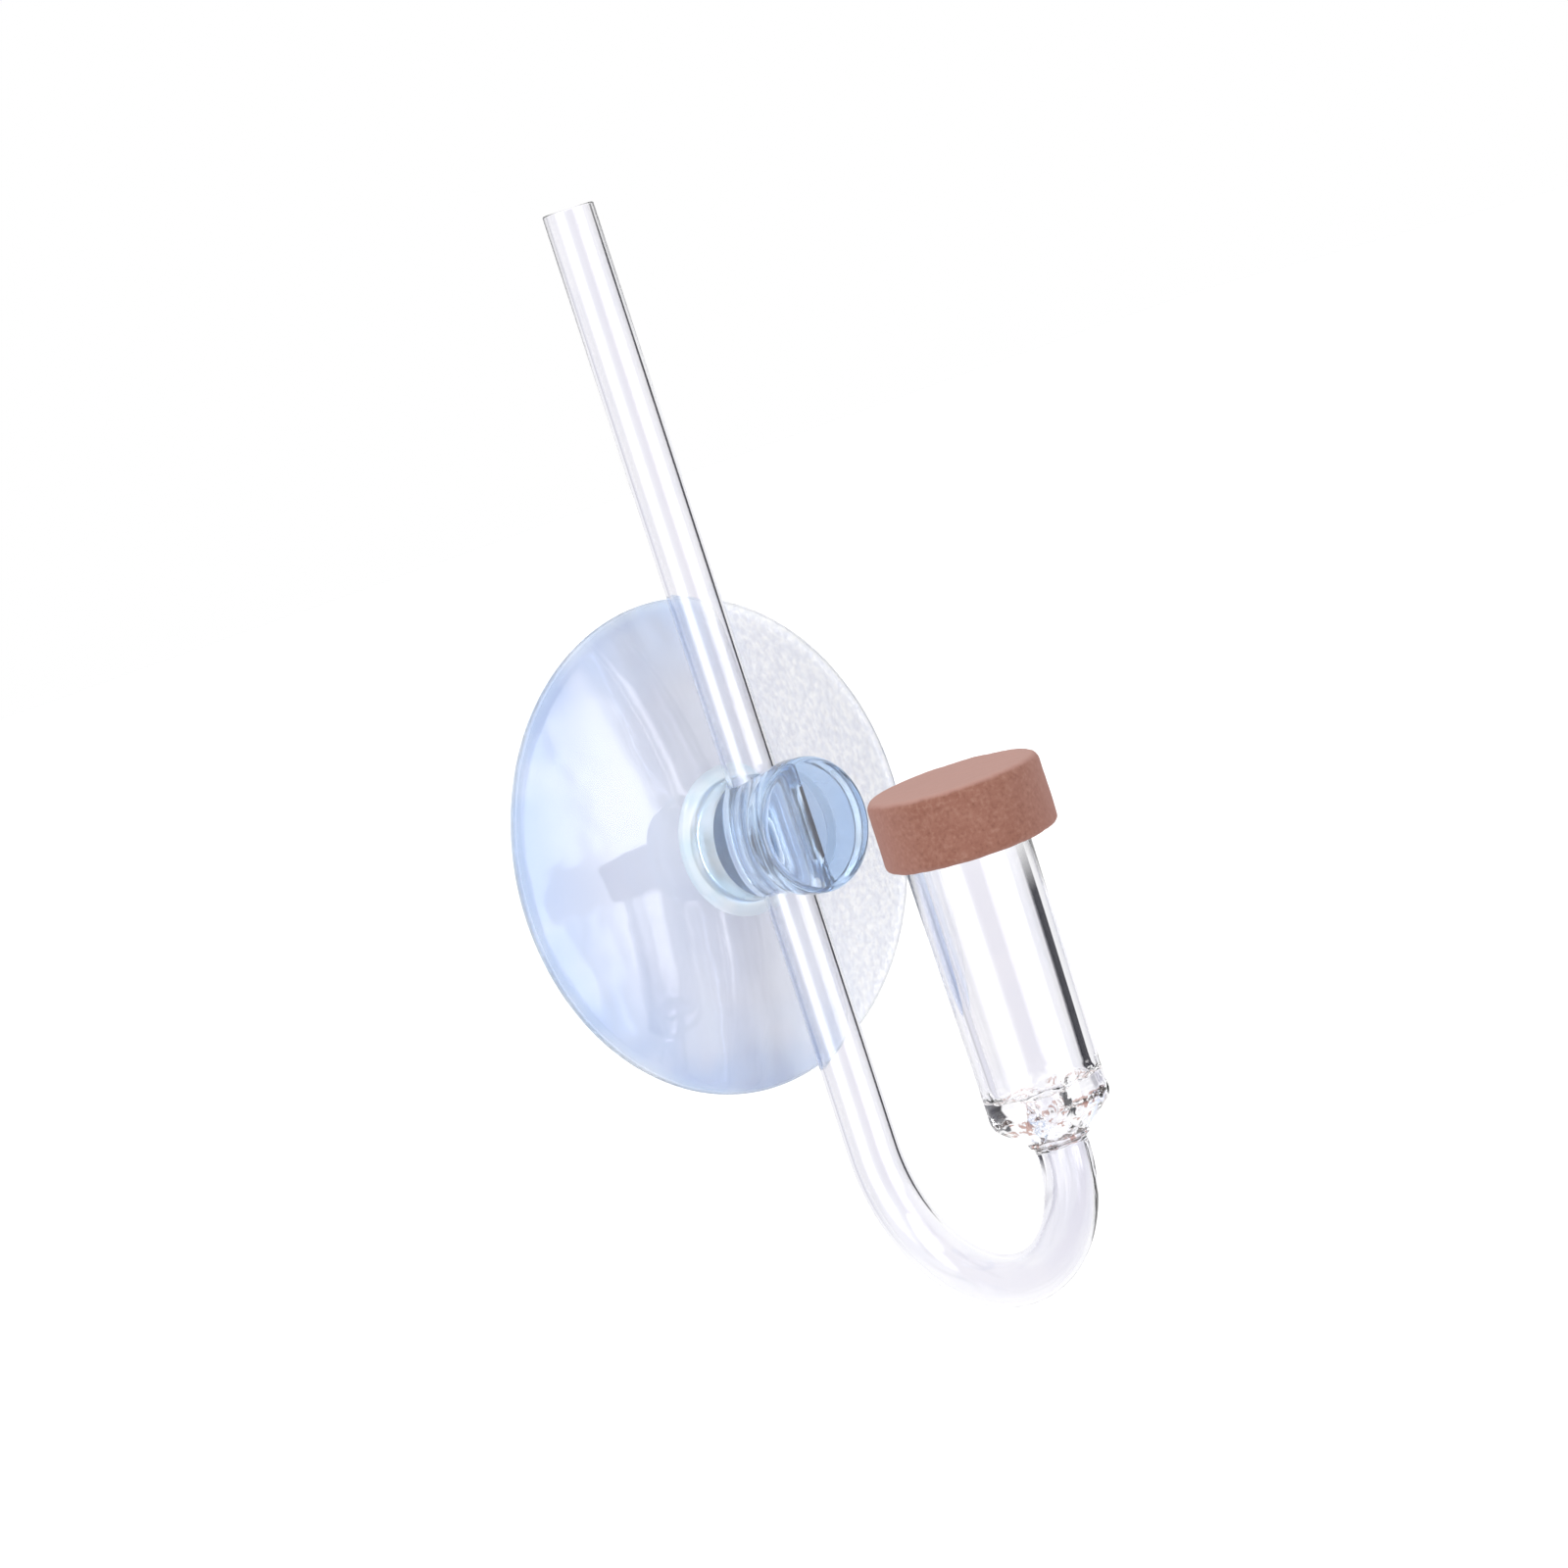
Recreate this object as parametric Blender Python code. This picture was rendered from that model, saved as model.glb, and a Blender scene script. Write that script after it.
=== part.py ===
"""A glass carbon dioxide diffuser for an aquarium, held to the tank's wall by a suction cup.

The origin is the centre of the cup's rim, on the wall, with +Y into the wall and +Z up.
A straight glass tube stands in a hole through the cup's knob. Below the cup it turns up
again through a U-bend into a chamber, and a porous stone closes the chamber's mouth.
The glass slides along +Z in the knob and turns in it about the straight tube's axis.
"""

from math import cos, pi, radians, sin

import bmesh
import bpy
from mathutils import Vector

MM = 0.001

# How finely round shapes are divided.
CUP_SEGMENTS = 96
GLASS_SEGMENTS = 64
BEND_SEGMENTS = 40
BEND_RINGS = 44
STONE_SEGMENTS = 96
ARC_STEPS = 5

# Clearances.
JOINT_GAP = 0.3 * MM
SLIDING_CLEARANCE = 0.1 * MM

# Glass tube, for a hose with a 4 mm bore.
TUBE_RADIUS = 2.5 * MM
TUBE_BORE_RADIUS = 2.0 * MM
TUBE_END_ROUND = 0.15 * MM
TUBE_TOP_Z = 61.4 * MM

# U-bend. Its radius changes evenly from the straight tube's side to the chamber's.
BEND_RADIUS_STEM = 14.8 * MM
BEND_RADIUS_NECK = 11.3 * MM
BEND_LOWEST_Z = -45.7 * MM

# Suction cup, by distance from its axis and height off the wall.
CUP_RADIUS = 23.8 * MM
CUP_RIM_THICKNESS = 0.9 * MM
CUP_RIM_LAND = 1.2 * MM
CUP_DOME_HEIGHT = 4.8 * MM
CUP_HOLLOW_DEPTH = 2.6 * MM
CUP_DOME_STEPS = 14
KNOB_BARREL_RADIUS = 5.9 * MM
KNOB_HEAD_RADIUS = 6.45 * MM
KNOB_HEAD_THICKNESS = 2.2 * MM
KNOB_END_HEIGHT = 15.7 * MM
KNOB_FOOT_FILLET = 0.9 * MM
KNOB_EDGE_ROUND = 0.6 * MM
HOLE_HEIGHT = 9.15 * MM

# Chamber: a glass cup that widens a little towards its mouth.
CHAMBER_MOUTH_RADIUS = 5.94 * MM
CHAMBER_FOOT_RADIUS = 5.68 * MM
CHAMBER_WALL = 1.4 * MM
CHAMBER_BASE_THICKNESS = 3.6 * MM
CHAMBER_TOP_Z = -4.2 * MM
CHAMBER_BOTTOM_Z = -30.8 * MM
CHAMBER_CORNER_ROUND = 1.3 * MM
CHAMBER_FLOOR_ROUND = 1.2 * MM

# Collar: the cone of glass that joins the chamber to the bend.
COLLAR_TOP_RADIUS = 3.9 * MM
COLLAR_BOTTOM_RADIUS = 2.9 * MM
COLLAR_HEIGHT = 2.0 * MM

# Porous stone, set a little off the chamber's axis.
STONE_RADIUS = 8.18 * MM
STONE_TOP_Z = 1.9 * MM
STONE_BOTTOM_Z = -4.85 * MM
STONE_OFFSET = 1.0 * MM
STONE_TOP_ROUND = 0.7 * MM
STONE_BOTTOM_ROUND = 0.45 * MM
STONE_RECESS_DEPTH = 0.95 * MM

# Bead of clear sealant in the corner between the stone and the chamber's wall.
SEALANT_WIDTH = 0.5 * MM

# Places that follow from the sizes above. The chamber stands straight out from the knob.
TUBE_Y = -HOLE_HEIGHT
CHAMBER_Y = TUBE_Y - BEND_RADIUS_STEM - BEND_RADIUS_NECK
STONE_Y = CHAMBER_Y - STONE_OFFSET
COLLAR_TOP_Z = CHAMBER_BOTTOM_Z - JOINT_GAP
COLLAR_BOTTOM_Z = COLLAR_TOP_Z - COLLAR_HEIGHT
BEND_END_Z = COLLAR_BOTTOM_Z - JOINT_GAP


def clear_scene():
    """Removes every object, so the script gives the same scene each time it runs."""
    for scene_object in list(bpy.data.objects):
        bpy.data.objects.remove(scene_object, do_unlink=True)


def material(name, colour, roughness, transmission=0.0, alpha=1.0):
    """A Principled material."""
    made = bpy.data.materials.new(name)
    made.use_nodes = True
    shader = made.node_tree.nodes["Principled BSDF"]
    shader.inputs["Base Color"].default_value = (*colour, 1.0)
    shader.inputs["Roughness"].default_value = roughness
    shader.inputs["Metallic"].default_value = 0.0
    shader.inputs["Transmission Weight"].default_value = transmission
    shader.inputs["Alpha"].default_value = alpha
    made.diffuse_color = (*colour, alpha)
    return made


def add_object(name, mesh_data, surface, location=(0.0, 0.0, 0.0)):
    """Makes a smooth-shaded object from a bmesh."""
    bmesh.ops.recalc_face_normals(mesh_data, faces=mesh_data.faces)
    mesh = bpy.data.meshes.new(name)
    mesh_data.to_mesh(mesh)
    mesh_data.free()
    mesh.shade_smooth()
    mesh.materials.append(surface)
    made = bpy.data.objects.new(name, mesh)
    made.location = location
    bpy.context.scene.collection.objects.link(made)
    return made


def arc(centre, radius, start, end, steps=ARC_STEPS):
    """Points of a section's arc. Angles are in degrees, anticlockwise from the radial axis."""
    points = []
    for step in range(steps + 1):
        angle = radians(start + (end - start) * step / steps)
        points.append((centre[0] + radius * cos(angle), centre[1] + radius * sin(angle)))
    return points


def revolve(section, segments):
    """Turns a closed section of (radius, height) points about Z.

    A section that starts and ends on the axis gives a shape with no bore.
    """
    mesh_data = bmesh.new()
    rings = []
    for radius, height in section:
        if radius < 1e-9:
            rings.append([mesh_data.verts.new((0.0, 0.0, height))])
            continue
        ring = []
        for segment in range(segments):
            angle = 2 * pi * segment / segments
            ring.append(mesh_data.verts.new((radius * cos(angle), radius * sin(angle), height)))
        rings.append(ring)
    on_axis = len(rings[0]) == 1
    pairs = list(zip(rings, rings[1:]))
    if not on_axis:
        pairs.append((rings[-1], rings[0]))
    for first, second in pairs:
        for segment in range(segments):
            following = (segment + 1) % segments
            corners = [first[segment % len(first)], first[following % len(first)]]
            corners += [second[following % len(second)], second[segment % len(second)]]
            mesh_data.faces.new(list(dict.fromkeys(corners)))
    return mesh_data


def add_cutter(name, radius, low, high, place, segments):
    """A hidden upright cylinder for a Boolean modifier."""
    section = [(0.0, low), (radius, low), (radius, high), (0.0, high)]
    surface = bpy.data.materials.new(name)
    cutter = add_object(name, revolve(section, segments), surface, place)
    cutter.hide_render = True
    cutter.display_type = "WIRE"
    return cutter


def cut(target, cutter):
    """Takes the cutter's shape out of the target."""
    modifier = target.modifiers.new(cutter.name, "BOOLEAN")
    modifier.operation = "DIFFERENCE"
    modifier.solver = "EXACT"
    modifier.object = cutter


def dome_height(radius):
    """Height of the cup's outer face off the wall, a shallow cap that meets the rim's edge."""
    fall = (CUP_DOME_HEIGHT - CUP_RIM_THICKNESS) * (radius / CUP_RADIUS) ** 2
    return CUP_DOME_HEIGHT - fall


def hollow_height(radius):
    """Height of the cup's inner face off the wall."""
    return CUP_HOLLOW_DEPTH * (1.0 - (radius / (CUP_RADIUS - CUP_RIM_LAND)) ** 2)


def cup_section():
    """Half section of the suction cup, from the hollow's centre round to the knob's end."""
    land_radius = CUP_RADIUS - CUP_RIM_LAND
    section = []
    for step in range(CUP_DOME_STEPS):
        radius = land_radius * step / CUP_DOME_STEPS
        section.append((radius, hollow_height(radius)))
    section.append((land_radius, 0.0))
    edge = CUP_RIM_THICKNESS / 2
    section += arc((CUP_RADIUS - edge, edge), edge, -90, 60)

    foot_radius = KNOB_BARREL_RADIUS + KNOB_FOOT_FILLET
    for step in range(1, CUP_DOME_STEPS + 1):
        radius = CUP_RADIUS - edge - (CUP_RADIUS - edge - foot_radius) * step / CUP_DOME_STEPS
        section.append((radius, dome_height(radius)))
    fillet_centre = (foot_radius, dome_height(foot_radius) + KNOB_FOOT_FILLET)
    section += arc(fillet_centre, KNOB_FOOT_FILLET, -110, -180)

    head_start = KNOB_END_HEIGHT - KNOB_HEAD_THICKNESS
    step_out = KNOB_HEAD_RADIUS - KNOB_BARREL_RADIUS
    section.append((KNOB_BARREL_RADIUS, head_start - 2 * step_out))
    section.append((KNOB_BARREL_RADIUS + 0.3 * step_out, head_start - 0.8 * step_out))
    section.append((KNOB_HEAD_RADIUS, head_start))
    end_centre = (KNOB_HEAD_RADIUS - KNOB_EDGE_ROUND, KNOB_END_HEIGHT - KNOB_EDGE_ROUND)
    section += arc(end_centre, KNOB_EDGE_ROUND, 0, 90)
    section.append((0.0, KNOB_END_HEIGHT))
    return section


def add_suction_cup(surface):
    """The soft cup, its neck and its knob, one moulding with a hole for the glass tube."""
    cup = add_object("suction_cup", revolve(cup_section(), CUP_SEGMENTS), surface)
    cup.rotation_euler = (radians(90), 0.0, 0.0)
    hole_radius = TUBE_RADIUS + SLIDING_CLEARANCE
    reach = KNOB_HEAD_RADIUS + 2 * MM
    cutter = add_cutter("tube_hole", hole_radius, -reach, reach, (0.0, TUBE_Y, 0.0), GLASS_SEGMENTS)
    cut(cup, cutter)
    return cup


def bend_path():
    """Centre line of the U-bend in the YZ plane, as (point, unit tangent) pairs."""
    turn = pi / (BEND_RINGS - 1)
    change = (BEND_RADIUS_NECK - BEND_RADIUS_STEM) / pi
    points = []
    y = z = 0.0
    for ring in range(BEND_RINGS):
        heading = turn * ring
        points.append((y, z, heading))
        middle = heading + turn / 2
        radius = BEND_RADIUS_STEM + change * middle
        y -= radius * sin(middle) * turn
        z -= radius * cos(middle) * turn
    lift = BEND_LOWEST_Z - min(point[1] for point in points)
    path = []
    for y, z, heading in points:
        point = Vector((0.0, TUBE_Y + y, z + lift))
        path.append((point, Vector((0.0, -sin(heading), -cos(heading)))))
    end = path[-1][0].copy()
    end.z = BEND_END_Z
    path.append((end, path[-1][1].copy()))
    return path


def add_u_bend(surface):
    """The bent end of the tube: a bore and an outer wall swept round the centre line."""
    path = bend_path()
    mesh_data = bmesh.new()
    across = Vector((1.0, 0.0, 0.0))
    walls = []
    for radius in (TUBE_RADIUS, TUBE_BORE_RADIUS):
        rings = []
        for point, tangent in path:
            inward = tangent.cross(across)
            ring = []
            for segment in range(BEND_SEGMENTS):
                angle = 2 * pi * segment / BEND_SEGMENTS
                offset = across * cos(angle) + inward * sin(angle)
                ring.append(mesh_data.verts.new(point + offset * radius))
            rings.append(ring)
        walls.append(rings)
    outer, bore = walls
    loops = outer + bore[::-1]
    for first, second in zip(loops, loops[1:] + loops[:1]):
        for segment in range(BEND_SEGMENTS):
            following = (segment + 1) % BEND_SEGMENTS
            corners = (first[segment], first[following], second[following], second[segment])
            mesh_data.faces.new(corners)
    return add_object("u_bend", mesh_data, surface), path[0][0].z


def add_stem_tube(surface, bottom):
    """The straight tube, from the bend's start up to the polished end that takes the hose."""
    polish = TUBE_END_ROUND
    section = [(TUBE_BORE_RADIUS, bottom), (TUBE_RADIUS, bottom)]
    section += arc((TUBE_RADIUS - polish, TUBE_TOP_Z - polish), polish, 0, 90)
    section.append((TUBE_BORE_RADIUS, TUBE_TOP_Z))
    return add_object("stem_tube", revolve(section, GLASS_SEGMENTS), surface, (0.0, TUBE_Y, 0.0))


def add_chamber(surface):
    """The glass chamber, with a thick base and a bore through it to the neck."""
    corner = CHAMBER_CORNER_ROUND
    floor_z = CHAMBER_BOTTOM_Z + CHAMBER_BASE_THICKNESS
    inner_foot = CHAMBER_FOOT_RADIUS - CHAMBER_WALL
    lip = CHAMBER_WALL / 2
    section = [(TUBE_BORE_RADIUS, CHAMBER_BOTTOM_Z)]
    section += arc((CHAMBER_FOOT_RADIUS - corner, CHAMBER_BOTTOM_Z + corner), corner, -90, 0)
    section += arc((CHAMBER_MOUTH_RADIUS - lip, CHAMBER_TOP_Z - lip), lip, 0, 180)
    floor_round = CHAMBER_FLOOR_ROUND
    section += arc((inner_foot - floor_round, floor_z + floor_round), floor_round, 0, -90)
    section.append((TUBE_BORE_RADIUS, floor_z))
    place = (0.0, CHAMBER_Y, 0.0)
    return add_object("diffusion_chamber", revolve(section, GLASS_SEGMENTS), surface, place)


def add_neck_collar(surface):
    """The short glass cone between the chamber's base and the bend."""
    section = [
        (TUBE_BORE_RADIUS, COLLAR_BOTTOM_Z),
        (COLLAR_BOTTOM_RADIUS, COLLAR_BOTTOM_Z),
        (COLLAR_TOP_RADIUS, COLLAR_TOP_Z),
        (TUBE_BORE_RADIUS, COLLAR_TOP_Z),
    ]
    place = (0.0, CHAMBER_Y, 0.0)
    return add_object("neck_collar", revolve(section, GLASS_SEGMENTS), surface, place)


def add_stone(surface):
    """The porous stone, with a recess underneath that takes the chamber's rim."""
    top = STONE_TOP_ROUND
    bottom = STONE_BOTTOM_ROUND
    section = [(0.0, STONE_BOTTOM_Z)]
    section += arc((STONE_RADIUS - bottom, STONE_BOTTOM_Z + bottom), bottom, -90, 0)
    section += arc((STONE_RADIUS - top, STONE_TOP_Z - top), top, 0, 90)
    section.append((0.0, STONE_TOP_Z))
    place = (0.0, STONE_Y, 0.0)
    stone = add_object("diffuser_stone", revolve(section, STONE_SEGMENTS), surface, place)
    recess_radius = CHAMBER_MOUTH_RADIUS + JOINT_GAP
    low = STONE_BOTTOM_Z - 2 * MM
    high = STONE_BOTTOM_Z + STONE_RECESS_DEPTH
    cutter = add_cutter("rim_recess", recess_radius, low, high, (0.0, CHAMBER_Y, 0.0), GLASS_SEGMENTS)
    cut(stone, cutter)
    return stone


def add_sealant_bead(surface):
    """The ring of clear sealant under the stone, round the outside of the glass."""
    inner = CHAMBER_MOUTH_RADIUS + JOINT_GAP
    top = STONE_BOTTOM_Z - JOINT_GAP
    section = [(inner, top - SEALANT_WIDTH)]
    section += arc((inner + SEALANT_WIDTH, top - SEALANT_WIDTH), SEALANT_WIDTH * 0.5, 180, 90)
    section += [(inner + SEALANT_WIDTH, top), (inner, top)]
    place = (0.0, CHAMBER_Y, 0.0)
    return add_object("sealant_bead", revolve(section, GLASS_SEGMENTS), surface, place)


def main():
    clear_scene()
    glass = material("clear_glass", (0.95, 0.96, 0.98), 0.02, transmission=1.0, alpha=0.35)
    soft_pvc = material("pale_blue_soft_pvc", (0.66, 0.79, 0.94), 0.22, transmission=0.6, alpha=0.6)
    stone_brown = material("porous_brown_stone", (0.43, 0.19, 0.15), 0.9)
    sealant = material("clear_sealant", (0.93, 0.88, 0.78), 0.25, transmission=0.5, alpha=0.6)

    add_suction_cup(soft_pvc)
    u_bend, bend_start_z = add_u_bend(glass)
    stem = add_stem_tube(glass, bend_start_z + JOINT_GAP)

    turn_axis = bpy.data.objects.new("glass_turn_axis", None)
    turn_axis.location = (0.0, TUBE_Y, 0.0)
    bpy.context.scene.collection.objects.link(turn_axis)
    turning = [u_bend, add_chamber(glass), add_neck_collar(glass)]
    turning += [add_stone(stone_brown), add_sealant_bead(sealant)]
    for piece in turning:
        piece.parent = turn_axis
        piece.location.y -= TUBE_Y
    turn_axis.parent = stem
    turn_axis.location = (0.0, 0.0, 0.0)


main()
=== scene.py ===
"""Looks of a glass carbon dioxide diffuser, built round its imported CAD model.

The glass is one continuous blown piece: a straight tube, a U-bend and a thick-based
chamber. It turns and slides in the knob of a soft translucent suction cup, and a disc
of porous brown stone is glued on the chamber's mouth. Everything is in metres.
"""

from math import atan2, ceil, cos, degrees, pi, radians, sin

import bmesh
import bpy
from mathutils import Matrix, Vector, noise


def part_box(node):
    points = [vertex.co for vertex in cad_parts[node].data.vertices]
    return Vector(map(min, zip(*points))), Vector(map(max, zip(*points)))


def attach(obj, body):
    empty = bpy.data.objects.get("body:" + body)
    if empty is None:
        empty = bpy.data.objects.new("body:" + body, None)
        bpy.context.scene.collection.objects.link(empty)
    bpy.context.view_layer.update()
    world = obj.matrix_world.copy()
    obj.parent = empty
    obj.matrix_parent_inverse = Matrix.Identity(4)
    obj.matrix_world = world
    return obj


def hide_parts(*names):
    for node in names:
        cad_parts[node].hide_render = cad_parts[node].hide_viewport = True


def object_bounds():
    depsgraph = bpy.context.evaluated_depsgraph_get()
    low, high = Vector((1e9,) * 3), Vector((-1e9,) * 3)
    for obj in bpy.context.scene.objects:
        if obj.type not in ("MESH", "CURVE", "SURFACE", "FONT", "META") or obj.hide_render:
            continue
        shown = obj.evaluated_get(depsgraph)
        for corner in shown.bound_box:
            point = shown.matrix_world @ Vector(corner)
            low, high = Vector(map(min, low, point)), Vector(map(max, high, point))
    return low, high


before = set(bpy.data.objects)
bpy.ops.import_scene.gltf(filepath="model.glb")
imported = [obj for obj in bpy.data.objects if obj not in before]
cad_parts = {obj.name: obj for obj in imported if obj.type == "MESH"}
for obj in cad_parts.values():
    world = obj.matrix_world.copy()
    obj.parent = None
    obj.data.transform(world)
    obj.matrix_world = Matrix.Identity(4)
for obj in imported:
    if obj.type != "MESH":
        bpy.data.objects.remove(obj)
cad_low, cad_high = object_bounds()

MM = 0.001
GLASS_IOR = 1.49
PVC_IOR = 1.52
SEALANT_IOR = 1.41
PVC_DEPTH_COLOUR = (0.06, 0.43, 0.81, 1.0)
KNOB_DENSITY = 48.0
DISC_DENSITY = 8.0

# Blender seeds its vector noise from the clock, so the lumps and grains need a fixed seed.
NOISE_SEED = 1794889641

# Sizes that the frame doesn't give.
TUBE_BORE_RADIUS = 2.07 * MM
NECK_BORE_RADIUS = 1.75 * MM
NECK_BORE_SHIFT = 0.42 * MM
CHAMBER_WALL = 1.4 * MM
CHAMBER_TAPER = 0.26 * MM
CHAMBER_BASE_THICKNESS = 2.8 * MM
BEND_RADIUS_CHANGE = 3.5 * MM

# How far from the chamber's axis, towards the tube, the glass's greyer tint by the neck starts and is full.
NECK_GREY_START = 11 * MM
NECK_GREY_FULL = 1 * MM

# The photograph's viewpoint.
CAMERA_AZIMUTH = -39.4
CAMERA_ELEVATION = 5.0
CAMERA_ROLL = 18.0
CAMERA_DISTANCE = 0.6
CAMERA_TARGET = Vector((0.0027, -0.010, 0.00395))
CAMERA_LENS = 146.5

# ---------------------------------------------------------------- small helpers


def node_box(name):
    """Centre, size, low and high corners of a CAD node."""
    low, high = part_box(name)
    return (low + high) / 2, high - low, low, high


def arc(centre, radius, start, end, steps):
    """Points of an arc in a section. Angles are in degrees."""
    points = []
    for step in range(steps + 1):
        angle = radians(start + (end - start) * step / steps)
        points.append((centre[0] + radius * cos(angle), centre[1] + radius * sin(angle)))
    return points


def densified(outline, spacing):
    """The outline with extra points where two neighbours are further apart than the spacing."""
    dense = [outline[0]]
    for first, second in zip(outline, outline[1:]):
        length = (Vector(second) - Vector(first)).length
        steps = max(1, ceil(length / spacing))
        for step in range(1, steps + 1):
            share = step / steps
            dense.append(tuple(start + (end - start) * share for start, end in zip(first, second)))
    return dense


def wobble(point, bump_size, strength):
    """A smooth uneven shift for a point on a hand-worked or grainy surface."""
    return noise.noise_vector(point / bump_size) * strength


def roughen(vertices, lumps, share=1.0):
    """Shifts each vertex by every (lump size, strength) in turn."""
    for vertex in vertices:
        for lump_size, strength in lumps:
            vertex.co += wobble(vertex.co, lump_size, strength * share)


def smoothstep(low, high, value):
    """0 below low, 1 above high, and smooth between them."""
    share = min(1.0, max(0.0, (value - low) / (high - low)))
    return share * share * (3.0 - 2.0 * share)


def make_object(name, mesh_data, surface):
    """Turns a bmesh into a smooth-shaded object with its outside faces outwards."""
    bmesh.ops.recalc_face_normals(mesh_data, faces=mesh_data.faces)
    if mesh_data.calc_volume(signed=True) < 0.0:
        bmesh.ops.reverse_faces(mesh_data, faces=mesh_data.faces)
    mesh = bpy.data.meshes.new(name)
    mesh_data.to_mesh(mesh)
    mesh_data.free()
    mesh.shade_smooth()
    mesh.materials.append(surface)
    made = bpy.data.objects.new(name, mesh)
    bpy.context.scene.collection.objects.link(made)
    return made


def loft(mesh_data, rings, closed):
    """Quads between rings of vertices. A ring of one vertex is a pole."""
    pairs = list(zip(rings, rings[1:]))
    if closed:
        pairs.append((rings[-1], rings[0]))
    for first, second in pairs:
        around = max(len(first), len(second))
        for segment in range(around):
            following = (segment + 1) % around
            corners = [first[segment % len(first)], first[following % len(first)]]
            corners += [second[following % len(second)], second[segment % len(second)]]
            mesh_data.faces.new(list(dict.fromkeys(corners)))


def ring_about(mesh_data, centre, first_axis, second_axis, radius, segments):
    """A ring of new vertices round the centre, in the plane of the two axes."""
    ring = []
    for segment in range(segments):
        angle = 2 * pi * segment / segments
        offset = first_axis * cos(angle) + second_axis * sin(angle)
        ring.append(mesh_data.verts.new(centre + offset * radius))
    return ring


# ---------------------------------------------------------------- materials


def new_material(name):
    made = bpy.data.materials.new(name)
    made.use_nodes = True
    return made, made.node_tree, made.node_tree.nodes["Principled BSDF"]


def add_node(tree, kind, inputs, **settings):
    """Adds a node. Each input is either a value or another node's output."""
    node = tree.nodes.new(kind)
    for key, value in settings.items():
        setattr(node, key, value)
    for key, value in inputs.items():
        if isinstance(value, bpy.types.NodeSocket):
            tree.links.new(value, node.inputs[key])
        else:
            node.inputs[key].default_value = value
    return node


def noise_at(tree, place, scale, detail):
    """Noise whose scale is in bumps a metre."""
    settings = {"Vector": place, "Scale": scale, "Detail": detail}
    return add_node(tree, "ShaderNodeTexNoise", settings).outputs["Fac"]


def bump_over(tree, height, distance, strength, below=None):
    """A bump, on top of the normal below it if there is one."""
    settings = {"Height": height, "Distance": distance, "Strength": strength}
    if below is not None:
        settings["Normal"] = below
    return add_node(tree, "ShaderNodeBump", settings).outputs["Normal"]


def stretch(tree, value, low, high, to_low=0.0, to_high=1.0):
    """Maps low..high of a value to 0..1, or to the range given, without going past its ends."""
    settings = {"Value": value, "From Min": low, "From Max": high, "To Min": to_low, "To Max": to_high}
    return add_node(tree, "ShaderNodeMapRange", settings).outputs["Result"]


def blend(tree, factor, first, second, mode="MIX"):
    settings = {"Factor": factor, "A": first, "B": second}
    return add_node(tree, "ShaderNodeMix", settings, data_type="RGBA", blend_type=mode).outputs["Result"]


def product(tree, first, second):
    return add_node(tree, "ShaderNodeMath", {0: first, 1: second}, operation="MULTIPLY").outputs[0]


def glass_surface(name):
    """Glass without its tint and texture."""
    made, tree, shader = new_material(name)
    shader.inputs["Roughness"].default_value = 0.0
    shader.inputs["IOR"].default_value = GLASS_IOR
    shader.inputs["Transmission Weight"].default_value = 1.0
    place = add_node(tree, "ShaderNodeTexCoord", {}).outputs["Object"]
    return made, tree, shader, place


def glass_material():
    """Clear glass with the long faint streaks that drawing leaves in the tube, greyer by the neck."""
    made, tree, shader, place = glass_surface("clear_glass")
    drawn = add_node(tree, "ShaderNodeMapping", {"Vector": place, "Scale": (1.0, 1.0, 0.04)}).outputs[0]
    streaks = noise_at(tree, drawn, 900.0, 2.0)
    cloud = stretch(tree, noise_at(tree, place, 160.0, 2.0), 0.35, 0.65)
    tint = blend(tree, cloud, (0.955, 0.955, 0.98, 1.0), (0.98, 0.975, 0.985, 1.0))
    sides = add_node(tree, "ShaderNodeSeparateXYZ", {0: place}).outputs
    chamber_y = node_box("diffusion_chamber")[0].y
    collar_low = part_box("neck_collar")[0].z
    near_neck = stretch(tree, sides["Y"], chamber_y + NECK_GREY_START, chamber_y + NECK_GREY_FULL)
    below_collar = stretch(tree, sides["Z"], collar_low + 1 * MM, collar_low)
    near_neck = product(tree, near_neck, below_collar)
    tint = blend(tree, near_neck, tint, (0.93, 0.93, 0.95, 1.0), "MULTIPLY")
    tree.links.new(tint, shader.inputs["Base Color"])
    tree.links.new(bump_over(tree, streaks, 0.02 * MM, 0.35), shader.inputs["Normal"])
    return made


def stone_reflection_glass_material():
    """Clear glass with painted brown flecks on the chamber's lower corner and the collar's edge: a painted
    reflection of the brown stone seen in the glass.
    """
    made, tree, shader, place = glass_surface("glass_painted_stone_reflection")
    # Painted reflection of the brown stone: brown flecks in the glass's tint.
    flecks = stretch(tree, noise_at(tree, place, 1000.0, 2.0), 0.52, 0.57)
    tint = blend(tree, flecks, (0.97, 0.965, 0.98, 1.0), (0.33, 0.15, 0.12, 1.0))
    tree.links.new(tint, shader.inputs["Base Color"])
    tree.links.new(bump_over(tree, flecks, 0.02 * MM, 0.1), shader.inputs["Normal"])
    return made


def pvc_surface(name, roughness, density, haze):
    """Soft PVC before its tint and texture. Its blue grows with thickness, and haze makes it milky."""
    made, tree, shader = new_material(name)
    shader.inputs["Roughness"].default_value = roughness
    shader.inputs["IOR"].default_value = PVC_IOR
    shader.inputs["Transmission Weight"].default_value = 1.0 - haze
    settings = {"Color": PVC_DEPTH_COLOUR, "Density": density}
    volume = add_node(tree, "ShaderNodeVolumeAbsorption", settings).outputs["Volume"]
    tree.links.new(volume, tree.nodes["Material Output"].inputs["Volume"])
    place = add_node(tree, "ShaderNodeTexCoord", {}).outputs["Object"]
    return made, tree, shader, place


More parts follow.
